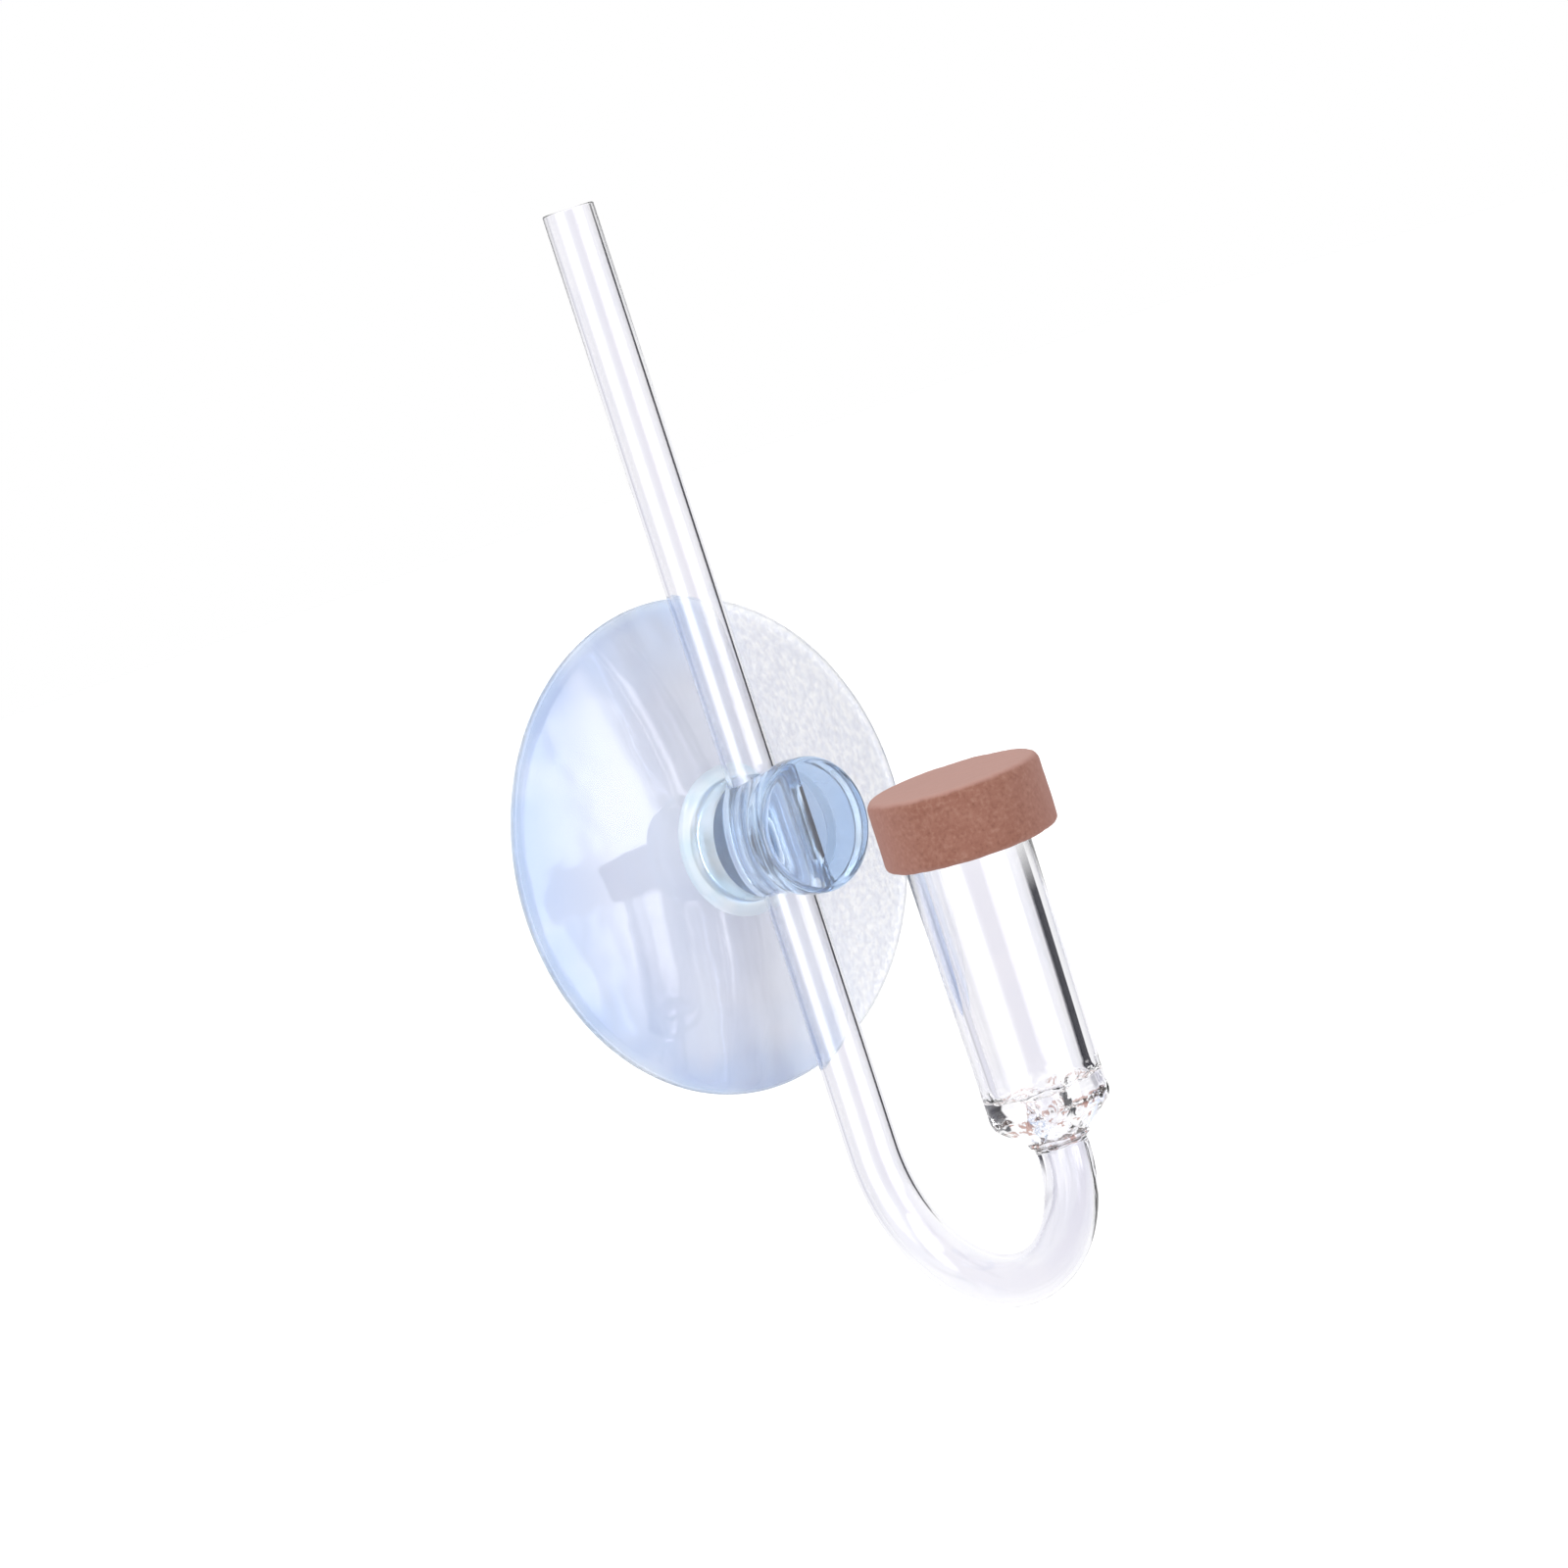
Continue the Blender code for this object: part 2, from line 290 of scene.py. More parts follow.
def knob_material(name, blue, pale, roughness=0.05, haze=0.08):
    """The knob's PVC, between a blue and a pale tint in cloudy patches."""
    made, tree, shader, place = pvc_surface(name, roughness, KNOB_DENSITY, haze)
    cloud = stretch(tree, noise_at(tree, place, 220.0, 2.0), 0.35, 0.65)
    tint = blend(tree, cloud, (*blue, 1.0), (*pale, 1.0))
    tree.links.new(tint, shader.inputs["Base Color"])
    waves = bump_over(tree, noise_at(tree, place, 170.0, 1.0), 0.22 * MM, 0.4)
    normal = bump_over(tree, noise_at(tree, place, 1400.0, 2.0), 0.02 * MM, 0.10, waves)
    tree.links.new(normal, shader.inputs["Normal"])
    return made


def painted_shade_line_material():
    """Painted shade: a dark strip on one side of the hole's wall, which shows through the knob's face as a
    dark line.
    """
    made, tree, shader = new_material("painted_shade_hole_line")
    place = add_node(tree, "ShaderNodeTexCoord", {}).outputs["Object"]
    # Painted shade: near-black, in patches of slightly different tone.
    shade_patches = stretch(tree, noise_at(tree, place, 900.0, 2.0), 0.35, 0.65)
    tint = blend(tree, shade_patches, (0.012, 0.012, 0.035, 1.0), (0.045, 0.045, 0.09, 1.0))
    tree.links.new(tint, shader.inputs["Base Color"])
    shader.inputs["Roughness"].default_value = 1.0
    shader.inputs["Specular IOR Level"].default_value = 0.0
    return made


def disc_material(name, wave_strength, ripple_strength, roughness=0.05, haze=0.10):
    """The disc's PVC: bluer head on and near the rim, with a painted reflection of dark surroundings as
    grey streaks up its middle, and rippled towards one side by the moulding, where painted glints make it
    paler in fine speckles.
    """
    made, tree, shader, place = pvc_surface(name, roughness, DISC_DENSITY, haze)
    facing = add_node(tree, "ShaderNodeLayerWeight", {"Blend": 0.5}).outputs["Facing"]
    pale = stretch(tree, facing, 0.07, 0.24)
    tint = blend(tree, pale, (0.73, 0.80, 0.945, 1.0), (0.97, 0.975, 0.99, 1.0))
    flat = add_node(tree, "ShaderNodeMapping", {"Vector": place, "Scale": (1.0, 0.0, 1.0)}).outputs[0]
    radius = add_node(tree, "ShaderNodeVectorMath", {0: flat}, operation="LENGTH").outputs["Value"]
    patches = noise_at(tree, place, 130.0, 3.0)
    rim = stretch(tree, radius, 15 * MM, 23.5 * MM)
    rim = product(tree, rim, stretch(tree, patches, 0.30, 0.55, 0.3, 1.0))
    tint = blend(tree, rim, tint, (0.74, 0.84, 0.985, 1.0), "MULTIPLY")
    cloud = stretch(tree, noise_at(tree, place, 70.0, 3.0), 0.42, 0.62)
    tint = blend(tree, cloud, tint, (0.90, 0.91, 0.95, 1.0), "MULTIPLY")
    across = add_node(tree, "ShaderNodeSeparateXYZ", {0: place}).outputs["X"]
    drawn = add_node(tree, "ShaderNodeMapping", {"Vector": place, "Scale": (1.0, 0.0, 0.15)}).outputs[0]
    streaks = stretch(tree, noise_at(tree, drawn, 420.0, 2.0), 0.35, 0.60, 0.45, 1.0)
    # Painted reflection: a grey band of streaks up the disc's middle, where dark surroundings show in the
    # PVC.
    painted_reflection_band = product(tree, stretch(tree, across, -8 * MM, -3 * MM), stretch(tree, across, 5 * MM, 0.0))
    tint = blend(tree, product(tree, painted_reflection_band, streaks), tint, (0.87, 0.865, 0.88, 1.0), "MULTIPLY")
    rippled = stretch(tree, across, RIPPLED_FROM, RIPPLED_TO)
    # Painted glints: towards +X the tint turns paler, in fine speckles, where light glints off the ripples.
    glint_speckles = stretch(tree, noise_at(tree, place, 1500.0, 3.0), 0.45, 0.56)
    glint_tint = blend(tree, glint_speckles, (0.90, 0.91, 0.955, 1.0), (1.0, 1.0, 1.0, 1.0))
    tint = blend(tree, product(tree, rippled, 0.95), tint, glint_tint)
    tree.links.new(tint, shader.inputs["Base Color"])

    waves = bump_over(tree, noise_at(tree, place, 110.0, 2.0), 0.35 * MM, wave_strength)
    ripples = product(tree, noise_at(tree, place, 1400.0, 2.0), rippled)
    normal = bump_over(tree, ripples, 0.16 * MM, ripple_strength, waves)
    tree.links.new(normal, shader.inputs["Normal"])
    return made


def stone_material():
    """Sintered grains: mottled brown, darker in the pores, with a painted sheen, paler and pinker, on top
    and where seen edge on.
    """
    made, tree, shader = new_material("porous_brown_stone")
    texture = add_node(tree, "ShaderNodeTexCoord", {}).outputs
    place = texture["Object"]
    grains = noise_at(tree, place, 2600.0, 3.0)
    mottle = noise_at(tree, place, 700.0, 4.0)
    patches = stretch(tree, mottle, 0.30, 0.70)
    body = blend(tree, patches, (0.205, 0.088, 0.064, 1.0), (0.232, 0.108, 0.080, 1.0))
    body = blend(tree, stretch(tree, grains, 0.52, 0.80), body, (0.270, 0.145, 0.110, 1.0))
    body = blend(tree, stretch(tree, grains, 0.46, 0.24), body, (0.165, 0.070, 0.050, 1.0))
    # Painted sheen: paler and pinker where the surface is seen edge on.
    facing = add_node(tree, "ShaderNodeLayerWeight", {"Blend": 0.5}).outputs["Facing"]
    body = blend(tree, stretch(tree, facing, 0.15, 0.85, 0.0, 0.7), body, (0.330, 0.180, 0.155, 1.0))
    # Painted sheen: the top face paler and pinker than the side.
    upward = add_node(tree, "ShaderNodeSeparateXYZ", {0: texture["Normal"]}).outputs["Z"]
    body = blend(tree, stretch(tree, upward, 0.55, 0.97, 0.0, 0.8), body, (0.405, 0.245, 0.212, 1.0))
    tree.links.new(body, shader.inputs["Base Color"])
    normal = bump_over(tree, mottle, 0.06 * MM, 0.5)
    normal = bump_over(tree, grains, 0.03 * MM, 0.6, normal)
    tree.links.new(normal, shader.inputs["Normal"])
    shader.inputs["Roughness"].default_value = 0.95
    shader.inputs["Specular IOR Level"].default_value = 0.25
    return made


def sealant_material():
    """Clear sealant, yellowed in patches, with a lightly uneven skin."""
    made, tree, shader = new_material("clear_sealant")
    place = add_node(tree, "ShaderNodeTexCoord", {}).outputs["Object"]
    patches = stretch(tree, noise_at(tree, place, 260.0, 2.0), 0.45, 0.65)
    tint = blend(tree, patches, (0.985, 0.98, 0.96, 1.0), (0.93, 0.82, 0.62, 1.0))
    tree.links.new(tint, shader.inputs["Base Color"])
    skin = bump_over(tree, noise_at(tree, place, 900.0, 2.0), 0.06 * MM, 0.5)
    tree.links.new(skin, shader.inputs["Normal"])
    shader.inputs["Roughness"].default_value = 0.12
    shader.inputs["IOR"].default_value = SEALANT_IOR
    shader.inputs["Transmission Weight"].default_value = 1.0
    return made


# ---------------------------------------------------------------- glass

GLASS_SEGMENTS = 192
BEND_STEPS = 90
ROW_SPACING = 0.2 * MM
POLISHED_EDGE = 0.18 * MM
BASE_CORNER = 1.25 * MM
BASE_WALL = 1.5 * MM
COLLAR_START = 0.05 * MM
COLLAR_BEAD = 0.24 * MM
COLLAR_BEAD_OUT = 0.16 * MM
COLLAR_BEAD_UP = 0.32 * MM
FLOOR_ROUND = 0.9 * MM
FLOOR_WALL = 2.2 * MM
WAIST_RADIUS = 1.45 * MM
WAIST_ROUND = 0.8 * MM
WAIST_END = 0.6 * MM
NECK_BORE_END = 1.0 * MM
# Where the glass's painted reflection of the stone goes: height and width of the band on the base's corner,
# and middle and half height of the band round the collar's edge.
FLECKED_HEIGHT = 1.1 * MM
FLECKED_WIDTH = 1.3 * MM
FLECKED_COLLAR_MIDDLE = 0.3 * MM
FLECKED_COLLAR_HALF = 0.35 * MM

# Where along the bend the wall starts to thicken and is at its thickest.
THICKENED = (0.72, 0.95)

# Size and strength of the lumps that the flame has left in the base, outside and inside.
OUTER_LUMPS = [(1.1 * MM, 0.13 * MM), (0.5 * MM, 0.045 * MM)]
INNER_LUMPS = [(1.0 * MM, 0.24 * MM), (0.45 * MM, 0.05 * MM)]


def bend_centre_line(start, neck, steps):
    """Points and tangents of the U-bend from the straight tube to the neck, in the YZ plane."""
    span = start.y - neck.y
    stem_radius = (span + BEND_RADIUS_CHANGE) / 2
    turn = pi / steps
    line = []
    y = z = 0.0
    for step in range(steps + 1):
        heading = turn * step
        line.append((Vector((0.0, y, z)), Vector((0.0, -sin(heading), -cos(heading)))))
        middle = heading + turn / 2
        radius = stem_radius - BEND_RADIUS_CHANGE * middle / pi
        y -= radius * sin(middle) * turn
        z -= radius * cos(middle) * turn
    return [(start + point, tangent) for point, tangent in line]


def base_outside(tube_radius, foot_radius, collar_low, base_z):
    """Section of the collar's bead, the 45 degree cone and the base's corner, going up."""
    outline = [(tube_radius + COLLAR_START, collar_low + COLLAR_START)]
    bead_centre = (tube_radius + COLLAR_BEAD_OUT, collar_low + COLLAR_BEAD_UP)
    outline += arc(bead_centre, COLLAR_BEAD, -60, 45, 6)
    outline += arc((foot_radius - BASE_CORNER, base_z + BASE_CORNER), BASE_CORNER, -58, 0, 10)
    outline.append((foot_radius, base_z + BASE_CORNER + BASE_WALL))
    return densified(outline, ROW_SPACING)


def base_inside(inner_foot, base_z, bend_end):
    """Section of the chamber's floor, the waist under it and the neck's bore, going down."""
    floor_z = base_z + CHAMBER_BASE_THICKNESS
    outline = [(inner_foot, floor_z + FLOOR_WALL)]
    outline += arc((inner_foot - FLOOR_ROUND, floor_z + FLOOR_ROUND), FLOOR_ROUND, 0, -80, 8)
    outline += arc((WAIST_RADIUS + WAIST_ROUND, floor_z - WAIST_ROUND), WAIST_ROUND, 90, 180, 6)
    outline += [(WAIST_RADIUS, base_z + WAIST_END), (NECK_BORE_RADIUS, base_z - NECK_BORE_END)]
    outline.append((NECK_BORE_RADIUS, bend_end + 0.2 * MM))
    return densified(outline, ROW_SPACING)


def build_glass(surface, stone_reflection_surface):
    """One closed body: outer skin from the tube's top round to the chamber's rim, and back inside."""
    tube_centre, tube_size, _, tube_high = node_box("stem_tube")
    chamber_centre, chamber_size, chamber_low, chamber_high = node_box("diffusion_chamber")
    collar_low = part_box("neck_collar")[0].z
    bend_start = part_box("u_bend")[1].z
    base_z = chamber_low.z
    floor_z = base_z + CHAMBER_BASE_THICKNESS
    rim_z = chamber_high.z
    top = tube_high.z
    tube_radius = tube_size.x / 2
    rim_radius = chamber_size.x / 2
    foot_radius = rim_radius - CHAMBER_TAPER
    inner_foot = foot_radius - CHAMBER_WALL
    lip = CHAMBER_WALL / 2
    across = Vector((1.0, 0.0, 0.0))
    forward = Vector((0.0, 1.0, 0.0))
    tube_y = tube_centre.y
    chamber_y = chamber_centre.y
    bend_top = Vector((0.0, tube_y, bend_start))
    line = bend_centre_line(bend_top, Vector((0.0, chamber_y, 0.0)), BEND_STEPS)
    bend_end = line[-1][0].z
    mesh_data = bmesh.new()

    def tube_ring(z, radius):
        centre = Vector((0.0, tube_y, z))
        return ring_about(mesh_data, centre, across, forward, radius, GLASS_SEGMENTS)

    def chamber_ring(z, radius):
        # The bend turns the rings over, so the chamber's rings run the other way round.
        centre = Vector((0.0, chamber_y, z))
        return ring_about(mesh_data, centre, across, -forward, radius, GLASS_SEGMENTS)

    def bend_rings(radius, neck_radius, neck_shift):
        # Bending has thickened the wall inside the curve on the last stretch before the neck.
        rings = []
        for step, (point, tangent) in enumerate(line):
            outward = across.cross(tangent)
            thickened = smoothstep(*THICKENED, step / len(line))
            centre = point + outward * neck_shift * thickened
            local = radius + (neck_radius - radius) * thickened
            rings.append(ring_about(mesh_data, centre, across, outward, local, GLASS_SEGMENTS))
        return rings

    # The outer skin, from the top of the tube.
    outer = []
    for radius, z in arc((tube_radius - POLISHED_EDGE, top - POLISHED_EDGE), POLISHED_EDGE, 80, 0, 5):
        outer.append(tube_ring(z, radius))
    for share in (0.25, 0.5, 0.75):
        outer.append(tube_ring(top + (bend_start - top) * share, tube_radius))
    outer += bend_rings(tube_radius, tube_radius, 0.0)
    base = base_outside(tube_radius, foot_radius, collar_low, base_z)
    for radius, z in base:
        ring = chamber_ring(z, radius)
        uneven = smoothstep(collar_low, collar_low + 0.6 * MM, z)
        uneven *= 1.0 - smoothstep(base_z + 1.0 * MM, base_z + 2.4 * MM, z)
        roughen(ring, OUTER_LUMPS, uneven)
        outer.append(ring)
    wall_start = base[-1][1]
    for share in (0.33, 0.66):
        radius = foot_radius + (rim_radius - foot_radius) * share
        outer.append(chamber_ring(wall_start + (rim_z - lip - wall_start) * share, radius))
    for radius, z in arc((rim_radius - lip, rim_z - lip), lip, 0, 180, 12):
        outer.append(chamber_ring(z, radius))

    # The inner skin, down the chamber, through the base and back up the bore.
    inner = []
    for share in (0.66, 0.33):
        radius = inner_foot + (rim_radius - 2 * lip - inner_foot) * share
        inner.append(chamber_ring(floor_z + (rim_z - floor_z) * share, radius))
    for radius, z in base_inside(inner_foot, base_z, bend_end):
        ring = chamber_ring(z, radius)
        shift = NECK_BORE_SHIFT * (1.0 - smoothstep(base_z - 1.0 * MM, base_z + 0.8 * MM, z))
        for vertex in ring:
            vertex.co -= forward * shift
        uneven = smoothstep(bend_end + 0.3 * MM, bend_end + 1.2 * MM, z)
        uneven *= 1.0 - smoothstep(floor_z + 0.6 * MM, floor_z + 1.8 * MM, z)
        roughen(ring, INNER_LUMPS, uneven)
        inner.append(ring)
    inner += bend_rings(TUBE_BORE_RADIUS, NECK_BORE_RADIUS, NECK_BORE_SHIFT)[::-1]
    for share in (0.75, 0.5, 0.25):
        inner.append(tube_ring(top + (bend_start - top) * share, TUBE_BORE_RADIUS))
    edge_radius = TUBE_BORE_RADIUS + POLISHED_EDGE
    for radius, z in arc((edge_radius, top - POLISHED_EDGE), POLISHED_EDGE, 180, 100, 5):
        inner.append(tube_ring(z, radius))
    loft(mesh_data, outer + inner, closed=True)
    glass = make_object("blown_glass", mesh_data, surface)

    # The chamber's lower corner and the collar's edge get the painted brown flecks, a painted reflection of
    # the stone.
    glass.data.materials.append(stone_reflection_surface)
    for face in glass.data.polygons:
        place = face.center
        distance = Vector((place.x, place.y - chamber_y)).length
        on_corner = distance > foot_radius - FLECKED_WIDTH and place.z < base_z + FLECKED_HEIGHT
        above_collar = place.z - collar_low - FLECKED_COLLAR_MIDDLE
        on_collar = distance > tube_radius and abs(above_collar) < FLECKED_COLLAR_HALF
        near_chamber = abs(place.y - chamber_y) < rim_radius and place.z > collar_low
        if near_chamber and (on_corner or on_collar):
            face.material_index = 1
    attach(glass, "turning_glass")
    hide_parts("stem_tube", "u_bend", "neck_collar", "diffusion_chamber")
    return glass


# ---------------------------------------------------------------- stone and sealant

STONE_SEGMENTS = 176
STONE_TOP_ROUND = 0.9 * MM
STONE_BOTTOM_ROUND = 0.6 * MM
STONE_TILT = 3.0
STONE_TILT_HEADING = -40.0
STONE_RECESS_DEPTH = 0.95 * MM
RECESS_CLEARANCE = 0.3 * MM
STONE_ROW_SPACING = 0.33 * MM
STONE_MIDDLE = 0.35 * MM
STONE_GRAINS = [(2.4 * MM, 0.05 * MM), (0.8 * MM, 0.035 * MM)]


def build_stone(surface):
    """A grainy disc, glued on slightly out of square, with a recess over the chamber's rim."""
    stone_centre, stone_size, stone_low, stone_high = node_box("diffuser_stone")
    chamber_centre, chamber_size, _, _ = node_box("diffusion_chamber")
    radius = stone_size.x / 2
    top_edge = radius - STONE_TOP_ROUND
    bottom_edge = radius - STONE_BOTTOM_ROUND
    recess_radius = chamber_size.x / 2 + RECESS_CLEARANCE
    recess_z = stone_low.z + STONE_RECESS_DEPTH
    outline = [(STONE_MIDDLE, stone_high.z), (top_edge, stone_high.z)]
    outline += arc((top_edge, stone_high.z - STONE_TOP_ROUND), STONE_TOP_ROUND, 90, 0, 6)
    outline += arc((bottom_edge, stone_low.z + STONE_BOTTOM_ROUND), STONE_BOTTOM_ROUND, 0, -90, 5)
    outline += [(recess_radius, stone_low.z), (recess_radius, recess_z), (STONE_MIDDLE, recess_z)]

    mesh_data = bmesh.new()
    across = Vector((1.0, 0.0, 0.0))
    forward = Vector((0.0, 1.0, 0.0))
    rings = [[mesh_data.verts.new((0.0, stone_centre.y, stone_high.z))]]
    below = False
    for distance, z in densified(outline, STONE_ROW_SPACING):
        below = below or z <= stone_low.z
        # The underside's rings slide from the stone's axis to the chamber's.
        slide = smoothstep(bottom_edge, recess_radius, distance) if below else 0.0
        centre = Vector((0.0, stone_centre.y + (chamber_centre.y - stone_centre.y) * slide, z))
        rings.append(ring_about(mesh_data, centre, across, forward, distance, STONE_SEGMENTS))
    rings.append([mesh_data.verts.new((0.0, chamber_centre.y, recess_z))])
    for vertex in mesh_data.verts:
        coarse, fine = [wobble(vertex.co, *grain) for grain in STONE_GRAINS]
        vertex.co += coarse + fine
    loft(mesh_data, rings, closed=False)
    heading = radians(STONE_TILT_HEADING)
    tilt_axis = Vector((cos(heading), sin(heading), 0.0))
    tilt = Matrix.Rotation(radians(STONE_TILT), 4, tilt_axis)
    middle = Matrix.Translation(stone_centre)
    mesh_data.transform(middle @ tilt @ middle.inverted())
    stone = make_object("porous_disc", mesh_data, surface)
    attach(stone, "turning_glass")
    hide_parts("diffuser_stone")
    return stone


SEALANT_WIDTH = 0.30 * MM
SEALANT_DROP = 0.24 * MM
SEALANT_WIDTH_CHANGE = 0.16 * MM
SEALANT_DROP_CHANGE = 0.20 * MM
SEALANT_TOUCH = 0.02 * MM

# The bead's section by (share of its width, share of its drop), from the glass round to its skin.
SEALANT_SECTION = [
    (0.0, 1.0), (0.0, 0.5), (0.0, 0.0), (0.5, 0.0), (1.0, 0.0), (0.72, 0.42), (0.42, 0.75), (0.15, 0.97),
]


def build_sealant(surface):
    """A thin uneven bead in the corner between the stone's underside and the glass."""
    chamber_centre, chamber_size, _, _ = node_box("diffusion_chamber")
    inside = chamber_size.x / 2 + SEALANT_TOUCH
    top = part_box("diffuser_stone")[0].z - SEALANT_TOUCH
    other_lumps = Vector((5.0, 0.0, 0.0))
    mesh_data = bmesh.new()
    rows = [[] for _ in SEALANT_SECTION]
    for segment in range(GLASS_SEGMENTS):
        angle = 2 * pi * segment / GLASS_SEGMENTS
        outward = Vector((cos(angle), sin(angle), 0.0))
        width = SEALANT_WIDTH + SEALANT_WIDTH_CHANGE * noise.noise(outward * 2.3)
        drop = SEALANT_DROP + SEALANT_DROP_CHANGE * noise.noise(outward * 3.1 + other_lumps)
        for row, (out_share, down_share) in zip(rows, SEALANT_SECTION):
            place = Vector((0.0, chamber_centre.y, top - drop * down_share))
            row.append(mesh_data.verts.new(place + outward * (inside + width * out_share)))
    loft(mesh_data, rows, closed=True)
    bead = make_object("sealant_ring", mesh_data, surface)
    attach(bead, "turning_glass")
    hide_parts("sealant_bead")
    return bead


# ---------------------------------------------------------------- suction cup

CUP_SEGMENTS = 256
RIM_THICKNESS = 0.9 * MM
RIM_LAND = 1.2 * MM
DOME_HEIGHT = 4.8 * MM
HOLLOW_DEPTH = 2.6 * MM
BARREL_RADIUS = 5.9 * MM
HEAD_RADIUS = 6.45 * MM
HEAD_THICKNESS = 2.2 * MM
HEAD_FLARE = 1.1 * MM
HEAD_ROUND = 0.6 * MM
HEAD_STANDS_OUT = 0.5 * MM
FOOT_FILLET = 1.4 * MM
MILKY_FOOT_HEIGHT = 1.7 * MM
HOLE_SEGMENTS = 96
HOLE_CLEARANCE = 0.1 * MM
HOLLOW_ROWS = 45
DISC_ROWS = 40
BARREL_ROWS = 30
HEAD_FLARE_ROWS = 8
HEAD_SIDE_ROWS = 5
HEAD_FACE_ROWS = 12
HOLE_ROWS = 24
SHARP_EDGE = 38

# The painted shade line in the hole: half its length, and its degrees round the hole from +X.
LINE_HALF_LENGTH = 3.2 * MM
LINE_ANGLES = (-56.0, -20.0)

# Size and height of the moulding's waves, and of the finer ripples towards +X.
WAVES = (8.0 * MM, 0.06 * MM)
RIPPLES = (1.7 * MM, 0.025 * MM)
RIPPLED_FROM = 4 * MM
RIPPLED_TO = 11 * MM


def cup_outline(cup_radius, end_height):
    """Half section of the cup by (distance from its axis, height off the wall), from the hollow's
    centre out to the rim and back to the knob's face.
    """

    def dome(radius):
        return DOME_HEIGHT - (DOME_HEIGHT - RIM_THICKNESS) * (radius / cup_radius) ** 2

    land = cup_radius - RIM_LAND
    outline = []
    for step in range(HOLLOW_ROWS):
        radius = land * step / HOLLOW_ROWS
        outline.append((radius, HOLLOW_DEPTH * (1.0 - (radius / land) ** 2)))
    outline.append((land, 0.0))
    edge = RIM_THICKNESS / 2
    outline += arc((cup_radius - edge, edge), edge, -90, 65, 10)
    foot = BARREL_RADIUS + FOOT_FILLET
    for step in range(1, DISC_ROWS + 1):
        radius = cup_radius - edge - (cup_radius - edge - foot) * step / DISC_ROWS
        outline.append((radius, dome(radius)))
    outline += arc((foot, dome(foot) + FOOT_FILLET), FOOT_FILLET, -105, -180, 10)
    barrel_start = outline[-1][1]
    flare_start = end_height - HEAD_THICKNESS - HEAD_FLARE
    for step in range(1, BARREL_ROWS + 1):
        height = barrel_start + (flare_start - barrel_start) * step / BARREL_ROWS
        outline.append((BARREL_RADIUS, height))
    for step in range(1, HEAD_FLARE_ROWS + 1):
        share = step / HEAD_FLARE_ROWS
        radius = BARREL_RADIUS + (HEAD_RADIUS - BARREL_RADIUS) * smoothstep(0.0, 1.0, share)
        outline.append((radius, flare_start + HEAD_FLARE * share))
    side = HEAD_THICKNESS - HEAD_ROUND
    for step in range(1, HEAD_SIDE_ROWS):
        outline.append((HEAD_RADIUS, flare_start + HEAD_FLARE + side * step / HEAD_SIDE_ROWS))
    face_radius = HEAD_RADIUS - HEAD_ROUND
    outline += arc((face_radius, end_height - HEAD_ROUND), HEAD_ROUND, 0, 85, 8)
    for step in range(1, HEAD_FACE_ROWS):
        outline.append((face_radius * (1.0 - step / HEAD_FACE_ROWS), end_height))
    outline.append((0.0, end_height))
    return outline


def revolved(name, outline, segments, surface):
    """Revolves an outline that starts and ends on the axis. The axis is +Z."""
    mesh_data = bmesh.new()
    across = Vector((1.0, 0.0, 0.0))
    forward = Vector((0.0, 1.0, 0.0))
    rings = []
    for radius, height in outline:
        centre = Vector((0.0, 0.0, height))
        if radius == 0.0:
            rings.append([mesh_data.verts.new(centre)])
        else:
            rings.append(ring_about(mesh_data, centre, across, forward, radius, segments))
    loft(mesh_data, rings, closed=False)
    return make_object(name, mesh_data, surface)


def add_moulding_waves(mesh, cup_radius):
    """Shallow waves in the disc's front, with finer ripples towards +X."""
    foot = BARREL_RADIUS + FOOT_FILLET
    for vertex in mesh.vertices:
        place = vertex.co.copy()
        radius = Vector((place.x, place.z)).length
        skin_middle = (DOME_HEIGHT + HOLLOW_DEPTH) / 2 * (1.0 - (radius / cup_radius) ** 2)
        if -place.y > skin_middle + RIM_THICKNESS / 2:
            share = smoothstep(foot, foot + 2 * MM, radius)
            share *= 1.0 - smoothstep(cup_radius - 1.5 * MM, cup_radius - 0.5 * MM, radius)
            waves = noise.noise(place / WAVES[0]) * WAVES[1]
            ripples = noise.noise(place / RIPPLES[0]) * RIPPLES[1]
            waves += ripples * smoothstep(RIPPLED_FROM, RIPPLED_TO, place.x)
            vertex.co.y -= waves * share


def cup_surfaces():
    """The cup's materials by the region that each covers."""
    return {
        "knob": knob_material("pale_blue_soft_pvc_knob", (0.82, 0.90, 0.99), (0.95, 0.97, 1.00)),
        "disc": disc_material("pale_blue_soft_pvc_disc", 0.25, 0.35),
        "hollow": disc_material("pale_blue_soft_pvc_hollow", 0.5, 0.6),
        "rim": disc_material("pale_blue_soft_pvc_rim", 0.25, 0.35, roughness=0.30, haze=0.30),
        "foot": knob_material(
            "pale_blue_soft_pvc_foot", (0.74, 0.89, 0.97), (0.94, 0.97, 0.99), roughness=0.12, haze=0.38
        ),
        # The painted shade line on one side of the hole's wall.
        "line": painted_shade_line_material(),
    }


